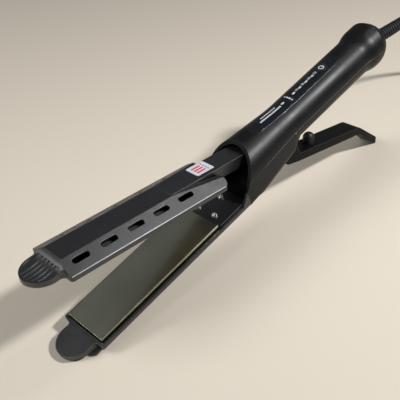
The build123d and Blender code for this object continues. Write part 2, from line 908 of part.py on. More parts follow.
def turned_half(offset, start, hand):
    """Half of the turned handle: hand 1 is the upper half, -1 the lower half."""
    with BuildPart() as half:
        with BuildSketch(level(handle, handle_height)):
            with BuildLine():
                turned_outline(offset, start, hand)
            make_face()
        revolve(axis=handle_axis, revolution_arc=180)
    return half.part


def hood_outline(half, foot, corner):
    """Section of the hood below the parting level: straight sides, a flat foot and round corners."""
    side_foot = foot + corner
    foot_half = half - corner
    Line((half, handle_height), (half, side_foot))
    CenterArc((foot_half, side_foot), corner, 0, -90)
    Line((foot_half, foot), (-foot_half, foot))
    CenterArc((-foot_half, side_foot), corner, -90, -90)
    Line((-half, side_foot), (-half, handle_height))
    Line((-half, handle_height), (half, handle_height))


def grip_arcs(radius):
    """Lower half of the grip's section, in arcs that match the hood's sides, corners and foot."""
    breaks = (0, -8, -82, -98, -172, -180)
    for start, stop in zip(breaks, breaks[1:]):
        CenterArc((0, handle_height), radius, start, stop - start)
    Line((-radius, handle_height), (radius, handle_height))


def flare(jaw_inset, inset):
    """Lower half of the hood, from the jaw's section over its deepest place to the round grip."""
    with BuildPart() as blend:
        with BuildSketch(section(handle, -lower_casing_rear)):
            with BuildLine():
                jaw_outline(handle_height, jaw_inset, -1)
            make_face()
        with BuildSketch(section(handle, -belly_reach)):
            with BuildLine():
                hood_outline(cone_radius(-belly_reach) - inset, belly_foot + inset, belly_round - inset)
            make_face()
        with BuildSketch(section(handle, neck_x)):
            with BuildLine():
                hood_outline(cone_radius(neck_x) - inset, neck_foot + inset, neck_round - inset)
            make_face()
        with BuildSketch(section(handle, flare_end)):
            with BuildLine():
                grip_arcs(grip_radius - inset)
            make_face()
        loft(ruled=True)
    return blend.part


lower_outer = turned_half(0, flare_end, -1)
lower_hollow = turned_half(-shell_wall, flare_end - flare_lap, -1)
flare_outer = flare(0, 0)
flare_hollow = flare(jaw_wall, shell_wall)
lug_seat = flare(jaw_wall / 2, shell_wall / 2)
shell_screws = ((76.0, 0.0), (92.0, 0.0))
# feet of the two lugs for the pivot pin, rooted in the floor of the hood
with BuildPart() as lug_feet:
    with BuildSketch(level(handle, handle_height)):
        for aside in (1, -1):
            with Locations((0, aside * (pin_half + lug_start) / 2)):
                Rectangle(2 * lug_half_length, lug_thickness)
    extrude(amount=-2 * grip_radius)
    add(lug_seat, mode=Mode.INTERSECT)

with BuildPart() as handle_lower_shell:
    add(lower_outer)
    add(flare_outer)
    add(lower_hollow, mode=Mode.SUBTRACT)
    add(flare_hollow, mode=Mode.SUBTRACT)
    with BuildSketch(side(handle)):
        with BuildLine():
            rim_outline()
        make_face()
    extrude(amount=jaw_half + 1, both=True, mode=Mode.SUBTRACT)
    # lugs for the pivot pin
    add(lug_feet.part)
    for plane in (side(handle, pin_half), side(handle, -lug_start)):
        with BuildSketch(plane) as lug_side:
            with Locations((0, lug_top / 2)):
                Rectangle(2 * lug_half_length, lug_top)
            tops = lug_side.vertices().filter_by_position(Axis.Y, lug_top - 0.1, lug_top + 0.1)
            fillet(tops, lug_round)
        extrude(amount=lug_thickness)
    with BuildSketch(side(handle)):
        with Locations((0, pivot_height)):
            Circle(pin_radius)
    extrude(amount=pin_half, both=True, mode=Mode.SUBTRACT)
    # opening for the root of the lever
    with BuildSketch(level(handle, handle_height)):
        with Locations(((lever_slot_rear - lever_slot_front) / 2, 0)):
            RectangleRounded(
                lever_slot_rear + lever_slot_front,
                2 * (lever_half_width + lever_slot_gap),
                lever_slot_round,
            )
    extrude(amount=-2 * cowl_radius, mode=Mode.SUBTRACT)
    # bosses for the screws that hold the shells together
    with BuildSketch(level(handle, shell_boss_foot)):
        with Locations(*shell_screws):
            Circle(cover_boss_radius)
    extrude(amount=handle_height - shell_boss_foot)
    with BuildSketch(level(handle, handle_height)):
        with Locations(*shell_screws):
            Circle(screw_radius)
    extrude(amount=-2 * grip_radius, mode=Mode.SUBTRACT)
    with BuildSketch(level(handle, shell_boss_foot + screw_head_height)):
        with Locations(*shell_screws):
            Circle(screw_head_radius)
    extrude(amount=-grip_radius, mode=Mode.SUBTRACT)
    split(bisect_by=tail_cut, keep=Keep.BOTTOM)
finish(handle_lower_shell, "handle_lower_shell")


def on_panel(shape, extra=0.0):
    """Sketch the outline of a button or light of the panel, in the handle's level plane."""
    kind, x, length, width = shape
    with Locations((x, 0)):
        if kind == "round":
            Circle(length / 2 + extra)
        elif kind == "bar":
            SlotOverall(length + 2 * extra, width + 2 * extra, rotation=90)
        else:
            Ellipse(length / 2 + extra, width / 2 + extra)


power_shape = ("round", power_button_x, 2 * power_button_radius, 2 * power_button_radius)
temperature_shape = ("bar", temperature_button_x, temperature_button_length, temperature_button_width)
light_shapes = [
    ("oval", first_light_x + index * light_pitch, light_length, light_width) for index in range(light_count)
]
light_shapes.append(("oval", ready_light_x, light_length, light_width))

panel_face = turned_half(panel_proud, -rim_low_reach, 1)
panel_floor = turned_half(panel_proud - panel_depth, -rim_low_reach, 1)
with BuildPart() as panel_block:
    with BuildSketch(level(handle, handle_height)):
        with Locations(((panel_rear + panel_front) / 2, 0)):
            SlotOverall(panel_rear - panel_front, panel_width)
    extrude(amount=2 * cowl_radius)
    add(panel_face, mode=Mode.INTERSECT)
    add(panel_floor, mode=Mode.SUBTRACT)

with BuildPart() as control_panel:
    add(panel_block.part)
    with BuildSketch(level(handle, handle_height)):
        on_panel(power_shape, button_gap)
        on_panel(temperature_shape, button_gap)
        for shape in light_shapes:
            on_panel(shape)
    extrude(amount=2 * cowl_radius, mode=Mode.SUBTRACT)
finish(control_panel, "control_panel")

for index, shape in enumerate(light_shapes):
    with BuildPart() as light:
        with BuildSketch(level(handle, handle_height)):
            on_panel(shape)
        extrude(amount=2 * cowl_radius)
        add(panel_face, mode=Mode.INTERSECT)
        add(panel_floor, mode=Mode.SUBTRACT)
    finish(light, f"indicator_light_{index + 1}")

board_top = board_height + board_thickness
button_foot = board_top + switch_height + button_travel + press_clearance
button_face = turned_half(button_rise, -rim_low_reach, 1)
button_flanges = (
    (power_shape, power_flange_height, "power_button"),
    (temperature_shape, bar_flange_height, "temperature_button"),
)
for shape, flange_height, name in button_flanges:
    with BuildPart() as button:
        with BuildSketch(level(handle, button_foot)):
            on_panel(shape)
        extrude(amount=2 * cowl_radius)
        add(button_face, mode=Mode.INTERSECT)
        with BuildSketch(level(handle, flange_height)):
            on_panel(shape, button_flange)
        extrude(amount=button_flange)
    finish(button, name)

# Circuit board hung from the upper shell, with a push switch under each button
board_rear = board_front + board_length
board_posts = [
    (x, y)
    for x in (board_front + board_post_inset, board_rear - board_post_inset)
    for y in (board_post_aside, -board_post_aside)
]
with BuildPart() as circuit_board:
    with BuildSketch(level(handle, board_height)):
        with Locations((board_front + board_length / 2, 0)):
            RectangleRounded(board_length, board_width, 1.0)
    extrude(amount=board_thickness)
finish(circuit_board, "circuit_board")

for x, name in ((power_button_x, "power_switch"), (temperature_button_x, "temperature_switch")):
    with BuildPart() as switch:
        with BuildSketch(level(handle, board_top)):
            with Locations((x, 0)):
                Rectangle(switch_size, switch_size)
        extrude(amount=switch_height - switch_stem)
        with BuildSketch(level(handle, board_top)):
            with Locations((x, 0)):
                Circle(switch_size / 4)
        extrude(amount=switch_height)
    finish(switch, name)

upper_outer = turned_half(0, -rim_low_reach, 1)
upper_hollow = turned_half(-shell_wall, -rim_low_reach, 1)
with BuildPart() as fittings:
    with BuildSketch(level(handle, handle_height)):
        with Locations(*shell_screws):
            Circle(cover_boss_radius)
            Circle(screw_radius, mode=Mode.SUBTRACT)
    extrude(amount=2 * grip_radius)
    with BuildSketch(level(handle, board_top)):
        with Locations(*board_posts):
            Circle(board_post_radius)
    extrude(amount=2 * grip_radius)
    add(panel_floor, mode=Mode.INTERSECT)
with BuildPart() as handle_upper_shell:
    add(upper_outer)
    add(upper_hollow, mode=Mode.SUBTRACT)
    add(fittings.part)
    with BuildSketch(side(handle)):
        with BuildLine():
            rim_outline()
        make_face()
    extrude(amount=jaw_half + 1, both=True, mode=Mode.SUBTRACT)
    add(panel_block.part, mode=Mode.SUBTRACT)
    with BuildSketch(level(handle, button_foot)):
        on_panel(power_shape, button_gap)
        on_panel(temperature_shape, button_gap)
    extrude(amount=2 * cowl_radius, mode=Mode.SUBTRACT)
    split(bisect_by=tail_cut, keep=Keep.BOTTOM)
finish(handle_upper_shell, "handle_upper_shell")

for index, (x, y) in enumerate(shell_screws):
    with BuildPart() as screw:
        with BuildSketch(level(handle, shell_boss_foot + screw_head_height)):
            with Locations((x, y)):
                Circle(screw_radius)
        extrude(amount=handle_height + shell_screw_bite - shell_boss_foot - screw_head_height)
        with BuildSketch(level(handle, shell_boss_foot + screw_head_height)):
            with Locations((x, y)):
                Circle(screw_head_radius)
        extrude(amount=-screw_head_height)
    finish(screw, f"shell_screw_{index + 1}")

# Tail: cap, swivel collar and ribbed strain relief, all turned about the tail's axis
with BuildPart() as end_cap:
    with BuildSketch(tail_side):
        with BuildLine():
            ThreePointArc(
                (0, butt_radius),
                (0.55 * cap_length, 0.81 * butt_radius),
                (cap_length, cap_mouth_radius),
            )
            Polyline(
                (cap_length, cap_mouth_radius),
                (cap_length, collar_neck_radius + collar_gap),
                (cap_length - cap_lip, collar_neck_radius + collar_gap),
                (cap_length - cap_lip, collar_flange_radius + collar_gap),
                (0, butt_radius - cap_wall),
                (0, butt_radius),
            )
        make_face()
    revolve(axis=tail_axis)
finish(end_cap, "end_cap")

cord_radius = cord_diameter / 2
bore_radius = cord_radius + pin_clearance
flange_start = cap_length - cap_lip - collar_gap - collar_flange_length
ring_start = cap_length + collar_gap
boot_start = ring_start + collar_ring_length
with BuildPart() as swivel_collar:
    with BuildSketch(tail_side):
        with BuildLine():
            Polyline(
                (flange_start, bore_radius),
                (flange_start, collar_flange_radius),
                (flange_start + collar_flange_length, collar_flange_radius),
                (flange_start + collar_flange_length, collar_neck_radius),
                (ring_start, collar_neck_radius),
                (ring_start, collar_ring_radius - 0.6),
                (ring_start + 0.6, collar_ring_radius),
                (boot_start - collar_slope_length, collar_ring_radius),
                (boot_start, boot_start_radius + collar_lip),
                (boot_start, bore_radius),
                close=True,
            )
        make_face()
    revolve(axis=tail_axis)
finish(swivel_collar, "swivel_collar")

boot_slope = (boot_start_radius - boot_end_radius) / boot_length
with BuildPart() as strain_relief:
    with BuildSketch(tail_side):
        with BuildLine():
            outline = [(boot_start, bore_radius), (boot_start, boot_start_radius)]
            for index in range(boot_ribs):
                reach = index * boot_rib_pitch
                outer = boot_start_radius - boot_slope * (reach + boot_rib_pitch / 2)
                outline.append((boot_start + reach + boot_rib_length, outer))
                outline.append((boot_start + reach + boot_rib_length, outer - boot_groove))
                outline.append((boot_start + reach + boot_rib_pitch, outer - boot_groove))
                outline.append((boot_start + reach + boot_rib_pitch, outer))
            outline.append((boot_start + boot_length, boot_end_radius))
            outline.append((boot_start + boot_length, bore_radius))
            Polyline(*outline, close=True)
        make_face()
    revolve(axis=tail_axis)
finish(strain_relief, "strain_relief")

# Cord: a free stretch from the strain relief to the floor, a tied hank and a plug on top of it
draw_in = radians(hank_lean)
hank_step = cord_diameter + hank_gap
fold_slim = hank_fold - hank_step / 2
folds = [hank_fold, fold_slim, fold_slim, hank_fold] * 2
climbs = (2, 4, 6)
floor_height = cord_radius + tie_gap + tie_thickness
hank_top = floor_height + 3 * hank_step + cord_radius
entry = Vector(
    hank_x - hank_run / 2 + hank_fold * sin(draw_in),
    hank_y + hank_fold * cos(draw_in),
    floor_height,
)
entry_heading = Vector(cos(draw_in), -sin(draw_in), 0)


def waist_reach(before, after):
    """Plan distance from the end of a fold to the corner at the waist, where the run turns."""
    return (hank_run - (before + after) * sin(draw_in)) / (2 * cos(draw_in))


def along_tail(s):
    """World point on the axis of the tail, s beyond the handle's end face."""
    spot = tail_origin + tail_dir * s
    return (spot.X, spot.Y, spot.Z)


def route_radii(points):
    """Largest radius that suits each corner of a route."""
    radii = []
    for before, corner, after in zip(points, points[1:], points[2:]):
        inward = Vector(*corner) - Vector(*before)
        outward = Vector(*after) - Vector(*corner)
        half_turn = radians(inward.get_angle(outward)) / 2
        radii.append(0.45 * min(inward.length, outward.length) * cos(half_turn) / sin(half_turn))
    return radii


def make_tube(points, name):
    """Cord tube along a route of straight runs joined by tangent arcs."""
    radii = route_radii(points)
    with BuildPart() as tube:
        with BuildLine() as path:
            FilletPolyline(*points, radius=radii)
        start = Vector(*points[0])
        with BuildSketch(Plane(start, z_dir=Vector(*points[1]) - start)):
            Circle(cord_radius)
        sweep()
    finish(tube, name)
    runs = [round((Vector(*b) - Vector(*a)).length, 1) for a, b in zip(points, points[1:])]
    share = tube.part.volume / (pi * cord_radius**2 * path.wire().length)
    print(name, "runs", runs, "radii", [round(r, 1) for r in radii])
    print(name, "length", round(path.wire().length, 1), "volume share", round(share, 4))
    return path.wire().length


cord_route = [
    along_tail(boot_start + boot_length - cord_inside),
    along_tail(boot_start + boot_length + cord_inside),
    (233.6, 3.0, 82.0),
    (251.4, 7.6, 64.1),
    (263.2, 11.4, 43.3),
    (272.0, 14.4, 23.2),
    (284.8, 16.4, 10.7),
    tuple(entry - entry_heading * cord_inside),
    tuple(entry),
]
free_length = make_tube(cord_route, "cord")


def bend(spot, heading, axis, radius, angle):
    """Arc that turns the heading by an angle about an axis; gives its end and the new heading."""
    centre = spot + axis.cross(heading) * radius
    turn = Axis((0, 0, 0), axis)
    middle = centre + (spot - centre).rotate(turn, angle / 2)
    stop = centre + (spot - centre).rotate(turn, angle)
    ThreePointArc(spot, middle, stop)
    return stop, heading.rotate(turn, angle)


def straight(spot, heading, length):
    """Straight run; gives its end."""
    Line(spot, spot + heading * length)
    return spot + heading * length


# The hank: each run is drawn in at the waist, and every second one climbs a layer
with BuildPart() as cord_hank:
    with BuildLine() as hank_path:
        spot = entry
        heading = entry_heading
        for index, fold in enumerate(folds):
            reach = waist_reach(folds[index - 1] if index else hank_fold, fold)
            level_side = heading.cross(Vector(0, 0, 1))
            rise = atan2(hank_step / 2, reach - climb_ease) if index in climbs else 0
            if rise:
                ease_radius = climb_ease / tan(rise / 2)
                spot, heading = bend(spot, heading, level_side, ease_radius, degrees(rise))
                reach = (reach - climb_ease) / cos(rise) - climb_ease
            onward = heading.rotate(Axis.Z, 2 * hank_lean)
            turn = heading.get_angle(onward)
            reach -= waist_radius * tan(radians(turn) / 2)
            spot = straight(spot, heading, reach)
            waist_axis = heading.cross(onward).normalized()
            spot, heading = bend(spot, heading, waist_axis, waist_radius, turn)
            spot = straight(spot, heading, reach)
            if rise:
                level_side = heading.cross(Vector(0, 0, 1)).normalized()
                spot, heading = bend(spot, heading, level_side * -1, ease_radius, degrees(rise))
            for half in range(2):
                spot, heading = bend(spot, heading, Vector(0, 0, -1), fold, 90 + hank_lean)
    with BuildSketch(Plane(entry, z_dir=entry_heading)):
        Circle(cord_radius)
    sweep()
finish(cord_hank, "cord_hank")
hank_wire = hank_path.wire()
samples = [hank_wire.position_at(i / 1200) for i in range(1201)]
apart = int(1200 * 3 * cord_diameter / hank_wire.length)
least = min(
    (samples[i] - samples[j]).length for i in range(0, 1201, 3) for j in range(i + apart, 1201, 3)
)
print("hank length", round(hank_wire.length, 1), "least gap", round(least - cord_diameter, 2))
print("hank volume share", round(cord_hank.part.volume / (pi * cord_radius**2 * hank_wire.length), 4))
print("hank end", tuple(spot), tuple(heading))

# The lead comes off the top layer and rises over the tie to the plug
waist_half = hank_fold * cos(draw_in) - waist_reach(hank_fold, hank_fold) * sin(draw_in)
waist_half += waist_radius * (1 / cos(draw_in) - 1)
plug_back = Vector(
    hank_x + plug_from_waist,
    hank_y + waist_half,
    hank_top + plug_clearance + plug_depth / 2,
)
lead_route = [
    tuple(spot),
    tuple(spot + heading * lead_straight),
    tuple(plug_back - Vector(lead_straight, 0, 0)),
    tuple(plug_back),
]
lead_length = make_tube(lead_route, "cord_lead")
print("whole cord", round(free_length + hank_wire.length + lead_length, 0))

tie_middle = Vector(hank_x, hank_y, floor_height + 1.5 * hank_step)
tie_inner = (2 * (waist_half + cord_radius + tie_gap), 3 * hank_step + cord_diameter + 2 * tie_gap)
with BuildPart() as cord_tie:
    with BuildSketch(Plane(tie_middle, x_dir=(0, 1, 0), z_dir=(1, 0, 0))):
        RectangleRounded(tie_inner[0] + 2 * tie_thickness, tie_inner[1] + 2 * tie_thickness, cord_radius)
        RectangleRounded(*tie_inner, cord_radius - tie_thickness, mode=Mode.SUBTRACT)
    extrude(amount=tie_width / 2, both=True)
finish(cord_tie, "cord_tie")

# Flat two-pin plug, lying on the hank with its pins away from the handle
plug_shoulder = plug_back + Vector(plug_taper, 0, 0)
with BuildPart() as plug_body:
    with BuildSketch(Plane(plug_back, x_dir=(0, 1, 0), z_dir=(1, 0, 0))):
        RectangleRounded(plug_neck, plug_neck_depth, plug_neck_round)
    with BuildSketch(Plane(plug_shoulder, x_dir=(0, 1, 0), z_dir=(1, 0, 0))):
        RectangleRounded(plug_width, plug_depth, plug_round)
    loft()
    with BuildSketch(Plane(plug_shoulder, x_dir=(0, 1, 0), z_dir=(1, 0, 0))):
        RectangleRounded(plug_width, plug_depth, plug_round)
    extrude(amount=plug_length - plug_taper)
finish(plug_body, "plug_body")
for index, aside in enumerate((prong_spacing / 2, -prong_spacing / 2)):
    root = plug_back + Vector(plug_length, aside, 0)
    with BuildPart() as prong:
        with BuildSketch(Plane(root, z_dir=(1, 0, 0))):
            Circle(prong_radius)
        extrude(amount=prong_length)
        chamfer(prong.edges().sort_by(Axis.X)[-1], prong_chamfer)
    finish(prong, f"plug_pin_{index + 1}")
    pin_middle = root + Vector(prong_length / 2, 0, 0)
    print("plug pin", index + 1, "middle", [round(v, 3) for v in pin_middle])

print("lift", round(lift, 3), "base", round(base_x, 2), round(base_height, 2))
print("pivot", [round(v, 3) for v in (pivot.X, pivot.Y, pivot.Z)])
print("press", [round(v, 5) for v in (-handle.z_dir.X, 0, -handle.z_dir.Z)])
print("tail origin", [round(v, 3) for v in (tail_origin.X, 0, tail_origin.Z)])
print("tail axis", [round(v, 5) for v in (tail_dir.X, 0, tail_dir.Z)])
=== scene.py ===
from math import atan2, cos, pi, radians, sin, tan

import bmesh
import bpy
from mathutils import Matrix, Vector


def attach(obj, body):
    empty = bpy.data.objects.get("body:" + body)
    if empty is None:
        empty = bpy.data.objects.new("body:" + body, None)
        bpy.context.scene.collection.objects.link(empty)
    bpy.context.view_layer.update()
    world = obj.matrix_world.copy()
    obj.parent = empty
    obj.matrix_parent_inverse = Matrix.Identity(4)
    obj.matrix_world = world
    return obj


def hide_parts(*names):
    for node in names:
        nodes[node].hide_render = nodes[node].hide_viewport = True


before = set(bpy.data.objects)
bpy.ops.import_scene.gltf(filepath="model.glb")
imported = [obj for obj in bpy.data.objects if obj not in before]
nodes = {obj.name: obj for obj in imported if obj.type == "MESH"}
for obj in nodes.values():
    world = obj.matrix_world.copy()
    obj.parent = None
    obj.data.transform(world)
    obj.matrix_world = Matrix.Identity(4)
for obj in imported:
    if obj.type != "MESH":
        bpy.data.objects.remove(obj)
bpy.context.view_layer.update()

scene = bpy.context.scene
scene.view_settings.view_transform = "Standard"

# Camera: where the photographer stood, above the near side and in front of the jaws,
# looking down along the handle, with the frame turned a little.
camera_data = bpy.data.cameras.new("camera")
camera_data.sensor_width = 36.0
camera_data.lens = 63.0
camera_data.clip_start = 0.01
camera = bpy.data.objects.new("camera", camera_data)
scene.collection.objects.link(camera)
look = Vector((0.51907, 0.6283, -0.57951)).normalized()
over = Vector((0.46702, 0.3594, 0.80793))
across = look.cross(over).normalized()
over = across.cross(look)
turn = Matrix((across, over, -look)).transposed().to_4x4()
camera.matrix_world = Matrix.Translation((-0.30014, -0.29316, 0.31780)) @ turn
scene.camera = camera


# Handle: two moulded shells of satin black plastic that meet along a level line, screwed
# together from below. The tools left a fine spark-eroded grain, and hands have rubbed it.
def lay_edges(tree, reach):
    """Normal eased round the edges, and a mask that is 1 on them."""
    still_flat = 0.97
    well_turned = 0.75
    eased = tree.nodes.new("ShaderNodeBevel")
    eased.samples = 6
    eased.inputs["Radius"].default_value = reach
    surface = tree.nodes.new("ShaderNodeNewGeometry")
    match = tree.nodes.new("ShaderNodeVectorMath")
    match.operation = "DOT_PRODUCT"
    mask = tree.nodes.new("ShaderNodeMapRange")
    mask.inputs["From Min"].default_value = still_flat
    mask.inputs["From Max"].default_value = well_turned
    tree.links.new(eased.outputs["Normal"], match.inputs[0])
    tree.links.new(surface.outputs["Normal"], match.inputs[1])
    tree.links.new(match.outputs["Value"], mask.inputs["Value"])
    return eased.outputs["Normal"], mask.outputs["Result"]


def make_moulding(name, colour, worn_and_highlight, rough, spread, grain_size, grain_depth, sheen=0.5):
    """Moulded plastic or rubber: grain, gloss that varies, and edges painted a little paler,
    partly as wear and partly as a painted highlight.
    """
    material = bpy.data.materials.new(name)
    material.use_nodes = True
    tree = material.node_tree
    skin = tree.nodes["Principled BSDF"]
    skin.inputs["Specular IOR Level"].default_value = sheen
    place = tree.nodes.new("ShaderNodeTexCoord")
    grain = tree.nodes.new("ShaderNodeTexNoise")
    grain.inputs["Scale"].default_value = 1 / grain_size
    grain.inputs["Detail"].default_value = 3
    touch = tree.nodes.new("ShaderNodeTexNoise")
    touch.inputs["Scale"].default_value = 55
    touch.inputs["Detail"].default_value = 5
    touch.inputs["Roughness"].default_value = 0.6
    gloss = tree.nodes.new("ShaderNodeMapRange")
    gloss.inputs["From Min"].default_value = 0.3
    gloss.inputs["From Max"].default_value = 0.7
    gloss.inputs["To Min"].default_value = rough - spread
    gloss.inputs["To Max"].default_value = rough + spread
    tint = tree.nodes.new("ShaderNodeMix")
    tint.data_type = "RGBA"
    tint.inputs[6].default_value = (*[0.85 * part for part in colour], 1)
    tint.inputs[7].default_value = (*[1.15 * part for part in colour], 1)
    # Edges take the paler edge colour: partly wear, partly a painted highlight along each edge.
    edge_wear_and_highlight = tree.nodes.new("ShaderNodeMix")
    edge_wear_and_highlight.data_type = "RGBA"
    edge_wear_and_highlight.inputs[7].default_value = (*worn_and_highlight, 1)
    bump = tree.nodes.new("ShaderNodeBump")
    bump.inputs["Strength"].default_value = 0.6
    bump.inputs["Distance"].default_value = grain_depth
    normal, edges = lay_edges(tree, 0.0004)
    link = tree.links.new
    link(place.outputs["Object"], grain.inputs["Vector"])
    link(place.outputs["Object"], touch.inputs["Vector"])
    link(touch.outputs["Fac"], gloss.inputs["Value"])
    link(touch.outputs["Fac"], tint.inputs["Factor"])
    link(edges, edge_wear_and_highlight.inputs["Factor"])
    link(tint.outputs[2], edge_wear_and_highlight.inputs[6])
    link(edge_wear_and_highlight.outputs[2], skin.inputs["Base Color"])
    link(gloss.outputs["Result"], skin.inputs["Roughness"])
    link(normal, bump.inputs["Normal"])
    link(grain.outputs["Fac"], bump.inputs["Height"])
    link(bump.outputs["Normal"], skin.inputs["Normal"])
    return material


def dress(material, *names):
    """Gives CAD nodes this material."""
    for name in names:
        slots = nodes[name].data.materials
        slots.clear()
        slots.append(material)


satin_black = make_moulding(
    "satin_black", (0.004, 0.004, 0.0045), (0.08, 0.08, 0.083), 0.4, 0.05, 0.0005, 0.00004, 0.22
)
dress(satin_black, "handle_upper_shell", "handle_lower_shell", "end_cap")

# Parting line: the two shells leave a fine raised witness line along each side of the grip,
# coloured paler than the rest as a painted highlight along the seam. It is part of the upper
# moulding.
lift = radians(13.042)
handle_x = 0.01872
handle_z = 0.05408
axis_height = 0.0096


def radius_at(x):
    """Radius of the handle: a cone at the hood, the straight grip, a swell at the butt."""
    grip_radius = 0.0150
    cone_slope = 5.2 / 58.0
    cone_middle = 0.008
    blend_start = 0.002
    blend_end = 0.014
    swell_start = 0.093
    swell_length = 0.013
    swell_rise = 0.0022
    if x < blend_start:
        return grip_radius + (cone_middle - x) * cone_slope
    if x < blend_end:
        return grip_radius + (blend_end - x) ** 2 / (2 * (blend_end - blend_start)) * cone_slope
    if x > swell_start:
        swell = min(1.0, (x - swell_start) / swell_length)
        return grip_radius + swell_rise * swell * swell * (3 - 2 * swell)
    return grip_radius


def on_grip(x, aside, proud):
    """Point over the top of the handle: along it, round it from its crown, and out from it."""
    radius = radius_at(x) + proud
    angle = aside / radius
    height = axis_height + radius * cos(angle)
    return Vector((
        handle_x + x * cos(lift) - height * sin(lift),
        radius * sin(angle),
        handle_z + x * sin(lift) + height * cos(lift),
    ))


def thicken(layer, depth):
    """Gives a thin layer its thickness, inwards."""
    wall = layer.modifiers.new("thickness", "SOLIDIFY")
    wall.thickness = depth
    wall.offset = -1


# Painted highlight: the seam strip is coloured paler than the shells to stand for light along
# the seam.
seam_highlight_black = make_moulding(
    "seam_highlight_black", (0.07, 0.07, 0.073), (0.12, 0.12, 0.123), 0.32, 0.05, 0.0004, 0.00001
)
line_middle = 0.0400
line_length = 0.1390
line_width = 0.0005
line_rise = 0.00005
line_depth = 0.0003
bead = bmesh.new()
for hand in (-1, 1):
    strip = bmesh.ops.create_grid(bead, x_segments=70, y_segments=2, size=0.5)["verts"]
    for spot in strip:
        x = line_middle + line_length * spot.co.x
        on_ridge = abs(spot.co.y) < 0.1
        proud = line_rise if on_ridge else -line_rise
        angle = pi / 2 + line_width * spot.co.y / radius_at(x)
        spot.co = on_grip(x, hand * (radius_at(x) + proud) * angle, proud)
bead.normal_update()
for face in bead.faces:
    if face.normal.y * face.calc_center_median().y < 0:
        face.normal_flip()
line_mesh = bpy.data.meshes.new("parting_line")
bead.to_mesh(line_mesh)
bead.free()
parting_line = bpy.data.objects.new("parting_line", line_mesh)
scene.collection.objects.link(parting_line)
thicken(parting_line, line_depth)
line_mesh.materials.append(seam_highlight_black)
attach(parting_line, "handle")

# Control panel: a polished black strip let into the top of the grip. Its marks are printed in
# pale ink: two rows of fine ticks at the front, and a temperature number beside each light.
panel_gloss = make_moulding(
    "panel_gloss", (0.006, 0.007, 0.010), (0.02, 0.021, 0.024), 0.2, 0.04, 0.0009, 0.000004, 0.35
)
dress(panel_gloss, "control_panel")


def print_on_grip(name, work, body, proud, ink):
    """Lays flat artwork round the grip as a thin layer of ink."""
    for face in work.faces:
        if face.normal.z < 0:
            face.normal_flip()
    bmesh.ops.triangulate(work, faces=work.faces[:])
    longest_straight = 0.0012
    long_edges = [edge for edge in work.edges if edge.calc_length() > longest_straight]
    bmesh.ops.subdivide_edges(work, edges=long_edges, cuts=2)
    for spot in work.verts:
        spot.co = on_grip(spot.co.x, spot.co.y, proud)
    layer = bpy.data.meshes.new(name)
    work.normal_update()
    work.to_mesh(layer)
    work.free()
    mark = bpy.data.objects.new(name, layer)
    scene.collection.objects.link(mark)
    thicken(mark, proud)
    layer.materials.append(ink)
    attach(mark, body)


def make_ink(name, colour, rough):
    """Printed ink: slightly uneven cover and a satin face."""
    material = bpy.data.materials.new(name)
    material.use_nodes = True
    tree = material.node_tree
    skin = tree.nodes["Principled BSDF"]
    place = tree.nodes.new("ShaderNodeTexCoord")
    cover = tree.nodes.new("ShaderNodeTexNoise")
    cover.inputs["Scale"].default_value = 2200
    cover.inputs["Detail"].default_value = 2
    tint = tree.nodes.new("ShaderNodeMix")
    tint.data_type = "RGBA"
    tint.inputs[6].default_value = (*[0.75 * part for part in colour], 1)
    tint.inputs[7].default_value = (*colour, 1)
    gloss = tree.nodes.new("ShaderNodeMapRange")
    gloss.inputs["To Min"].default_value = rough - 0.1
    gloss.inputs["To Max"].default_value = rough + 0.1
    tree.links.new(place.outputs["Object"], cover.inputs["Vector"])
    tree.links.new(cover.outputs["Fac"], tint.inputs["Factor"])
    tree.links.new(cover.outputs["Fac"], gloss.inputs["Value"])
    tree.links.new(tint.outputs[2], skin.inputs["Base Color"])
    tree.links.new(gloss.outputs["Result"], skin.inputs["Roughness"])
    return material


pale_ink = make_ink("pale_ink", (0.62, 0.64, 0.66), 0.45)


def bar_of(work, x, y, length, width):
    """Flat bar of ink with its middle at x, y."""
    corners = bmesh.ops.create_grid(work, x_segments=1, y_segments=1, size=0.5)["verts"]
    bmesh.ops.scale(work, vec=(length, width, 1), verts=corners)
    bmesh.ops.translate(work, vec=(x, y, 0), verts=corners)


panel_ink_rise = 0.0002
tick_pitch = 0.0017
tick_length = 0.0012
ticks = bmesh.new()
for first, last, aside, width in (
    (-0.0052, 0.0086, 0.0024, 0.0011),
    (-0.0086, 0.0118, -0.0006, 0.0014),
):
    count = round((last - first) / tick_pitch)
    for index in range(count + 1):
        bar_of(ticks, first + (last - first) * index / count, aside, tick_length, width)
print_on_grip("panel_ticks", ticks, "handle", panel_ink_rise, pale_ink)

digit_size = 0.0031
digit_squeeze = 0.62
digit_aside = 0.0004
for number, middle in (("160", 0.0315), ("180", 0.0385), ("200", 0.0457), ("220", 0.0528)):
    lettering = bpy.data.curves.new("number_" + number, "FONT")
    lettering.body = number
    lettering.size = digit_size
    lettering.align_x = "CENTER"
    lettering.align_y = "CENTER"
    flat = bpy.data.objects.new("flat_" + number, lettering)
    scene.collection.objects.link(flat)
    digits = bmesh.new()
    outline = bpy.data.meshes.new_from_object(flat)
    digits.from_mesh(outline)
    bpy.data.objects.remove(flat)
    bpy.data.meshes.remove(outline)
    bmesh.ops.scale(digits, vec=(digit_squeeze, 1, 1), verts=digits.verts[:])
    bmesh.ops.translate(digits, vec=(middle, digit_aside, 0), verts=digits.verts[:])
    print_on_grip("panel_number_" + number, digits, "handle", panel_ink_rise, pale_ink)

# Indicator lights: small oval lenses of clouded plastic, pressed into the panel from behind.
lens = make_moulding(
    "light_lens", (0.50, 0.50, 0.47), (0.7, 0.7, 0.68), 0.25, 0.05, 0.0005, 0.000005
)
skin = lens.node_tree.nodes["Principled BSDF"]
skin.inputs["Subsurface Weight"].default_value = 0.2
skin.inputs["Subsurface Scale"].default_value = 0.001
dress(lens, *["indicator_light_%d" % number for number in range(1, 6)])

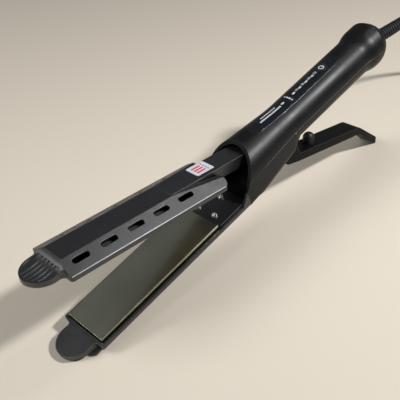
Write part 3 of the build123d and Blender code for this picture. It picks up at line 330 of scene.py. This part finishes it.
# Buttons: the round power button with a ring mark, and the temperature bar with a pale line.
# Both are gloss caps that sink into the panel when pressed.
button_gloss = make_moulding(
    "button_gloss", (0.013, 0.014, 0.017), (0.06, 0.06, 0.065), 0.22, 0.05, 0.0006, 0.000006
)
dress(button_gloss, "power_button", "temperature_button")
button_ink_rise = 0.0004
power_middle = 0.0599
temperature_middle = 0.0218
ring_outer = 0.0022
ring_inner = 0.0016
ring_opening = 0.5
ring = bmesh.new()
for radius in (ring_outer, ring_inner):
    bmesh.ops.create_circle(ring, radius=radius, segments=40)
bmesh.ops.bridge_loops(ring, edges=ring.edges[:])
gap = []
for face in ring.faces:
    middle = face.calc_center_median()
    if abs(atan2(middle.y, middle.x)) < ring_opening:
        gap.append(face)
bmesh.ops.delete(ring, geom=gap, context="FACES")
bar_of(ring, 0.0013, 0, 0.0020, 0.0006)
bmesh.ops.translate(ring, vec=(power_middle, 0, 0), verts=ring.verts[:])
print_on_grip("power_mark", ring, "power_button", button_ink_rise, pale_ink)
line = bmesh.new()
bar_of(line, temperature_middle, 0, 0.0011, 0.0078)
print_on_grip("temperature_mark", line, "temperature_button", button_ink_rise, pale_ink)

# Jaws: slim casings of the same plastic, with vent slots in their slanted sides and a ribbed
# tongue at the cool tip. The upper one is screwed to the arm that runs into the hood.
jaw_black = make_moulding(
    "jaw_black", (0.007, 0.007, 0.008), (0.05, 0.05, 0.052), 0.36, 0.05, 0.0007, 0.0001, 0.9
)
dress(
    jaw_black,
    "lower_jaw_casing",
    "lower_jaw_cover",
    "upper_jaw_casing",
    "upper_jaw_arm",
    "upper_jaw_cover",
)

# Finger lever: one long glass-filled moulding, bolted under the arm, with a rubber stop that
# lands on the grip when the jaws close.
lever_black = make_moulding(
    "lever_black", (0.004, 0.004, 0.004), (0.12, 0.12, 0.123), 0.34, 0.05, 0.0005, 0.00002, 0.08
)
dress(lever_black, "lever")
soft_rubber = make_moulding(
    "soft_rubber", (0.006, 0.006, 0.0065), (0.03, 0.03, 0.031), 0.5, 0.06, 0.0006, 0.00005, 0.35
)
dress(soft_rubber, "lever_bumper")

# Sticker: white paper film on the back of the upper jaw, with plain red and grey blocks.
film = make_ink("paper_film", (0.55, 0.55, 0.60), 0.5)
dress(film, "sticker")
lean = lift - radians(15.9)
upper_x = 0.016819
upper_z = 0.053912
sticker_face = 0.01217
sticker_ink_depth = 0.00005


def print_on_back(name, work, ink):
    """Lays flat artwork on the sticker as a thin layer of ink."""
    for spot in work.verts:
        x, y = spot.co.xy
        spot.co = Vector((
            upper_x + x * cos(lean) - sticker_face * sin(lean),
            y,
            upper_z + x * sin(lean) + sticker_face * cos(lean),
        ))
    layer = bpy.data.meshes.new(name)
    work.normal_update()
    work.to_mesh(layer)
    work.free()
    mark = bpy.data.objects.new(name, layer)
    scene.collection.objects.link(mark)
    thicken(mark, sticker_ink_depth)
    layer.materials.append(ink)
    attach(mark, "upper_jaw")


red_ink = make_ink("red_ink", (0.55, 0.06, 0.05), 0.5)
grey_ink = make_ink("grey_ink", (0.12, 0.12, 0.13), 0.5)
blocks = bmesh.new()
for aside in (-0.0013, 0.0015, 0.0043):
    bar_of(blocks, -0.0722, aside, 0.0074, 0.0015)
print_on_back("sticker_red_bars", blocks, red_ink)
dashes = bmesh.new()
for aside in (-0.0022, 0.0002, 0.0026, 0.0050):
    bar_of(dashes, -0.0668, aside, 0.0009, 0.0016)
print_on_back("sticker_grey_dashes", dashes, grey_ink)


# Heating plates: aluminium pressings with a dark titanium coat, lapped along their length,
# held to the casing on a leaf spring so that the pair closes flat. The upper plate is coloured
# darker as painted shade, so that its reflection in the lower plate reads dark.
def make_metal(name, colour, rough, spread, lines, depth, tilt=0.0):
    """Metal with fine lines: lines gives their size along X, Y and Z, tilt their slope."""
    material = bpy.data.materials.new(name)
    material.use_nodes = True
    tree = material.node_tree
    skin = tree.nodes["Principled BSDF"]
    skin.inputs["Metallic"].default_value = 1.0
    place = tree.nodes.new("ShaderNodeTexCoord")
    stretch = tree.nodes.new("ShaderNodeMapping")
    stretch.vector_type = "TEXTURE"
    stretch.inputs["Rotation"].default_value = (0, tilt, 0)
    stretch.inputs["Scale"].default_value = lines
    brushed = tree.nodes.new("ShaderNodeTexNoise")
    brushed.inputs["Scale"].default_value = 1.0
    brushed.inputs["Detail"].default_value = 4
    cloud = tree.nodes.new("ShaderNodeTexNoise")
    cloud.inputs["Scale"].default_value = 35
    cloud.inputs["Detail"].default_value = 4
    gloss = tree.nodes.new("ShaderNodeMapRange")
    gloss.inputs["From Min"].default_value = 0.3
    gloss.inputs["From Max"].default_value = 0.7
    gloss.inputs["To Min"].default_value = rough - spread
    gloss.inputs["To Max"].default_value = rough + spread
    tint = tree.nodes.new("ShaderNodeMix")
    tint.data_type = "RGBA"
    tint.inputs[6].default_value = (*[0.85 * part for part in colour], 1)
    tint.inputs[7].default_value = (*[1.12 * part for part in colour], 1)
    bump = tree.nodes.new("ShaderNodeBump")
    bump.inputs["Strength"].default_value = 0.5
    bump.inputs["Distance"].default_value = depth
    normal, edges = lay_edges(tree, 0.0003)
    # Edges painted paler: partly wear, partly a painted highlight along each edge.
    edge_wear_and_highlight = tree.nodes.new("ShaderNodeMix")
    edge_wear_and_highlight.data_type = "RGBA"
    edge_wear_and_highlight.inputs[7].default_value = (*[min(1.0, 1.6 * part + 0.15) for part in colour], 1)
    link = tree.links.new
    link(place.outputs["Object"], stretch.inputs["Vector"])
    link(stretch.outputs["Vector"], brushed.inputs["Vector"])
    link(place.outputs["Object"], cloud.inputs["Vector"])
    link(cloud.outputs["Fac"], gloss.inputs["Value"])
    link(cloud.outputs["Fac"], tint.inputs["Factor"])
    link(tint.outputs[2], edge_wear_and_highlight.inputs[6])
    link(edges, edge_wear_and_highlight.inputs["Factor"])
    link(edge_wear_and_highlight.outputs[2], skin.inputs["Base Color"])
    link(gloss.outputs["Result"], skin.inputs["Roughness"])
    link(normal, bump.inputs["Normal"])
    link(brushed.outputs["Fac"], bump.inputs["Height"])
    link(bump.outputs["Normal"], skin.inputs["Normal"])
    return material


titanium_low = make_metal(
    "titanium_low", (0.58, 0.57, 0.44), 0.22, 0.03, (0.02, 0.0003, 0.0003), 0.000004, -lift
)
dress(titanium_low, "lower_heating_plate")
# Painted shade: the upper plate has the same coat as the lower one but is coloured much darker.
titanium_high_painted_shade = make_metal(
    "titanium_high_painted_shade", (0.15, 0.145, 0.11), 0.22, 0.03, (0.02, 0.0003, 0.0003), 0.000004, -lean
)
dress(titanium_high_painted_shade, "upper_heating_plate")


# Heaters and sensors: fired ceramic bodies behind the plates, on pads of woven glass.
# Their colours are darkened near black as painted shade, so that the vent slots read dark.
def make_earthen(name, colour, rough, speck, depth):
    """Matt mineral body with fine specks."""
    material = bpy.data.materials.new(name)
    material.use_nodes = True
    tree = material.node_tree
    skin = tree.nodes["Principled BSDF"]
    skin.inputs["Roughness"].default_value = rough
    place = tree.nodes.new("ShaderNodeTexCoord")
    specks = tree.nodes.new("ShaderNodeTexNoise")
    specks.inputs["Scale"].default_value = 1 / speck
    specks.inputs["Detail"].default_value = 4
    tint = tree.nodes.new("ShaderNodeMix")
    tint.data_type = "RGBA"
    tint.inputs[6].default_value = (*[0.8 * part for part in colour], 1)
    tint.inputs[7].default_value = (*[min(1.0, 1.08 * part) for part in colour], 1)
    bump = tree.nodes.new("ShaderNodeBump")
    bump.inputs["Strength"].default_value = 0.5
    bump.inputs["Distance"].default_value = depth
    tree.links.new(place.outputs["Object"], specks.inputs["Vector"])
    tree.links.new(specks.outputs["Fac"], tint.inputs["Factor"])
    tree.links.new(tint.outputs[2], skin.inputs["Base Color"])
    tree.links.new(specks.outputs["Fac"], bump.inputs["Height"])
    tree.links.new(bump.outputs["Normal"], skin.inputs["Normal"])
    return material


# Painted shade: ceramic and pads are darkened near black so that the vent slots in front read
# dark.
ceramic_painted_shade = make_earthen("fired_ceramic_painted_shade", (0.03, 0.03, 0.033), 0.6, 0.0008, 0.00003)
dress(
    ceramic_painted_shade,
    "lower_heater",
    "upper_heater",
    "lower_temperature_sensor",
    "upper_temperature_sensor",
)
glass_pad_painted_shade = make_earthen("glass_pad_painted_shade", (0.035, 0.033, 0.03), 0.85, 0.0005, 0.0001)
dress(glass_pad_painted_shade, "lower_insulation_pad", "upper_insulation_pad")

# Springs, pins and screws: bright steel, the spring wound from wire, the screws with crossed
# slots and turned heads.
bright_steel = make_metal(
    "bright_steel", (0.85, 0.85, 0.84), 0.38, 0.06, (0.0004, 0.0004, 0.004), 0.000004
)
dress(
    bright_steel,
    "cover_screw_1",
    "cover_screw_2",
    "cover_screw_3",
    "lever_screw_1",
    "lever_screw_2",
    "shell_screw_1",
    "shell_screw_2",
    "pivot_pin",
    "pivot_washer_1",
    "pivot_washer_2",
)
spring_steel = make_metal(
    "spring_steel", (0.42, 0.42, 0.43), 0.3, 0.08, (0.003, 0.0004, 0.0004), 0.000005
)
dress(spring_steel, "return_spring", "lower_leaf_spring", "upper_leaf_spring")

# Inside the grip: a lacquered board on posts, with two small push switches under the buttons.
board = make_earthen("board_green", (0.03, 0.14, 0.06), 0.3, 0.0012, 0.00001)
dress(board, "circuit_board")
dress(button_gloss, "power_switch", "temperature_switch")

# Cord end: a turned cap closes the grip, a collar swivels in it, and a ribbed rubber boot
# keeps the cord from kinking.
collar_black = make_moulding(
    "collar_black", (0.017, 0.017, 0.018), (0.06, 0.06, 0.062), 0.33, 0.05, 0.0005, 0.00002
)
dress(collar_black, "swivel_collar")
dress(soft_rubber, "strain_relief")

# Cord: a two-core lead in one smooth black sheath, 5.6 mm thick. It comes straight out of the
# strain relief, sags to the table, lies there in a tied hank and ends in the plug.
cord_data = bpy.data.curves.new("mains_cord", "CURVE")
cord_data.dimensions = "3D"
cord_data.bevel_depth = 0.0028
cord_data.bevel_resolution = 5
cord_data.resolution_u = 8
cord_data.use_fill_caps = True
free_route = [
    (0.17136, 0.0, 0.08954),
    (0.21135, 0.0, 0.09027),
    (0.2336, 0.0030, 0.0820),
    (0.2514, 0.0076, 0.0641),
    (0.2632, 0.0114, 0.0433),
    (0.2720, 0.0144, 0.0232),
    (0.2848, 0.0164, 0.0107),
    (0.30143, 0.01725, 0.0040),
    (0.32084, 0.01241, 0.0040),
]
hank_run = 0.112
draw_in = radians(14)
fold_corners = 6
fold_step = (pi + 2 * draw_in) / fold_corners
layer_step = 0.0064
waist_reach = 0.015
wide_fold = 0.020
tight_fold = 0.0168
height = 0.0040
heading = -draw_in
spot = Vector((0.32084, 0.01241))
before = wide_fold
hank_route = []
for run, fold in enumerate((wide_fold, tight_fold, tight_fold, wide_fold) * 2):
    reach = (hank_run - (before + fold) * sin(draw_in)) / (2 * cos(draw_in))
    rise = layer_step if run in (2, 4, 6) else 0.0
    along = Vector((cos(heading), sin(heading)))
    onward = Vector((cos(heading + 2 * draw_in), sin(heading + 2 * draw_in)))
    waist = spot + along * reach
    end = waist + onward * reach
    for place, share in (
        (spot + along * before * tan(fold_step / 2), 0.0),
        (waist - along * waist_reach, 0.35),
        (waist, 0.5),
        (waist + onward * waist_reach, 0.65),
        (end - onward * fold * tan(fold_step / 2), 1.0),
    ):
        hank_route.append((place.x, place.y, height + rise * share))
    height += rise
    middle = end + Vector((onward.y, -onward.x)) * fold
    out = fold / (0.75 + 0.25 * cos(fold_step))
    start = heading + 2 * draw_in + pi / 2
    for corner in range(fold_corners):
        angle = start - (corner + 0.5) * fold_step
        hank_route.append((middle.x + out * cos(angle), middle.y + out * sin(angle), height))
    finish = start - fold_corners * fold_step
    spot = middle + Vector((cos(finish), sin(finish))) * fold
    heading -= pi
    before = fold
lead_route = [
    (0.32690, 0.01090, 0.0232),
    (0.33830, 0.00805, 0.0232),
    (0.36300, 0.00057, 0.03295),
    (0.38100, 0.00057, 0.03295),
]
cord_points = free_route + hank_route + lead_route
cord_line = cord_data.splines.new("NURBS")
cord_line.points.add(len(cord_points) - 1)
for spot, place in zip(cord_line.points, cord_points):
    spot.co = (*place, 1.0)
cord_line.order_u = 3
cord_line.use_endpoint_u = True
mains_cord = bpy.data.objects.new("mains_cord", cord_data)
scene.collection.objects.link(mains_cord)

# Cord sheath: smooth soft vinyl with a faint drag grain.
sheath = bpy.data.materials.new("cord_vinyl")
sheath.use_nodes = True
tree = sheath.node_tree
skin = tree.nodes["Principled BSDF"]
skin.inputs["Base Color"].default_value = (0.012, 0.012, 0.013, 1)
skin.inputs["Roughness"].default_value = 0.38
place = tree.nodes.new("ShaderNodeTexCoord")
grain = tree.nodes.new("ShaderNodeTexNoise")
grain.inputs["Scale"].default_value = 900
bump = tree.nodes.new("ShaderNodeBump")
bump.inputs["Strength"].default_value = 0.15
bump.inputs["Distance"].default_value = 0.0001
tree.links.new(place.outputs["Object"], grain.inputs["Vector"])
tree.links.new(grain.outputs["Fac"], bump.inputs["Height"])
tree.links.new(bump.outputs["Normal"], skin.inputs["Normal"])
cord_data.materials.append(sheath)
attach(mains_cord, "handle")
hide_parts("cord", "cord_hank", "cord_lead")

# Tie and plug: a rubber strap round the waist of the hank, and a flat moulded plug with two
# nickel-plated pins, lying on it.
dress(soft_rubber, "cord_tie")
dress(satin_black, "plug_body")
plated = make_metal(
    "nickel_plate", (0.66, 0.62, 0.50), 0.22, 0.05, (0.003, 0.0004, 0.0004), 0.000003
)
dress(plated, "plug_pin_1", "plug_pin_2")

# Floor: one plain pale sheet, far larger than the frame.
floor_mesh = bpy.data.meshes.new("floor")
work = bmesh.new()
bmesh.ops.create_grid(work, x_segments=1, y_segments=1, size=4.0)
work.to_mesh(floor_mesh)
work.free()
floor = bpy.data.objects.new("floor", floor_mesh)
scene.collection.objects.link(floor)
paper = bpy.data.materials.new("pale_paper")
paper.use_nodes = True
skin = paper.node_tree.nodes["Principled BSDF"]
skin.inputs["Base Color"].default_value = (0.60, 0.54, 0.455, 1)
skin.inputs["Roughness"].default_value = 0.9
skin.inputs["Specular IOR Level"].default_value = 0.1
floor_mesh.materials.append(paper)

# Studio light: a dim pale room, a small soft box on the near side that lays a band along the
# grip, a weak gridded one higher up for the upper jaw's slanted side, and a broad lamp overhead
# beyond the jaws that gives the shadows.
world = bpy.data.worlds.new("studio")
scene.world = world
world.use_nodes = True
room = world.node_tree.nodes["Background"]
room.inputs["Color"].default_value = (0.92, 0.96, 1.0, 1)
room.inputs["Strength"].default_value = 0.13
for name, spot, aim, size, power, cone in (
    ("soft_box", (0.52, -0.74, 0.89), (0.0, 0.0, 0.06), 0.105, 6.2, 110),
    ("jaw_box", (0.65, -0.14, 1.11), (-0.09, -0.015, 0.069), 0.2, 0.07, 40),
    ("sky_lamp", (-1.05, 0.60, 1.10), (0.0, 0.0, 0.05), 0.7, 11.0, 160),
):
    lamp_data = bpy.data.lights.new(name, "AREA")
    lamp_data.size = size
    lamp_data.energy = power
    lamp_data.spread = radians(cone)
    lamp = bpy.data.objects.new(name, lamp_data)
    scene.collection.objects.link(lamp)
    lamp.location = spot
    lamp.rotation_euler = (Vector(aim) - Vector(spot)).to_track_quat("-Z", "Y").to_euler()
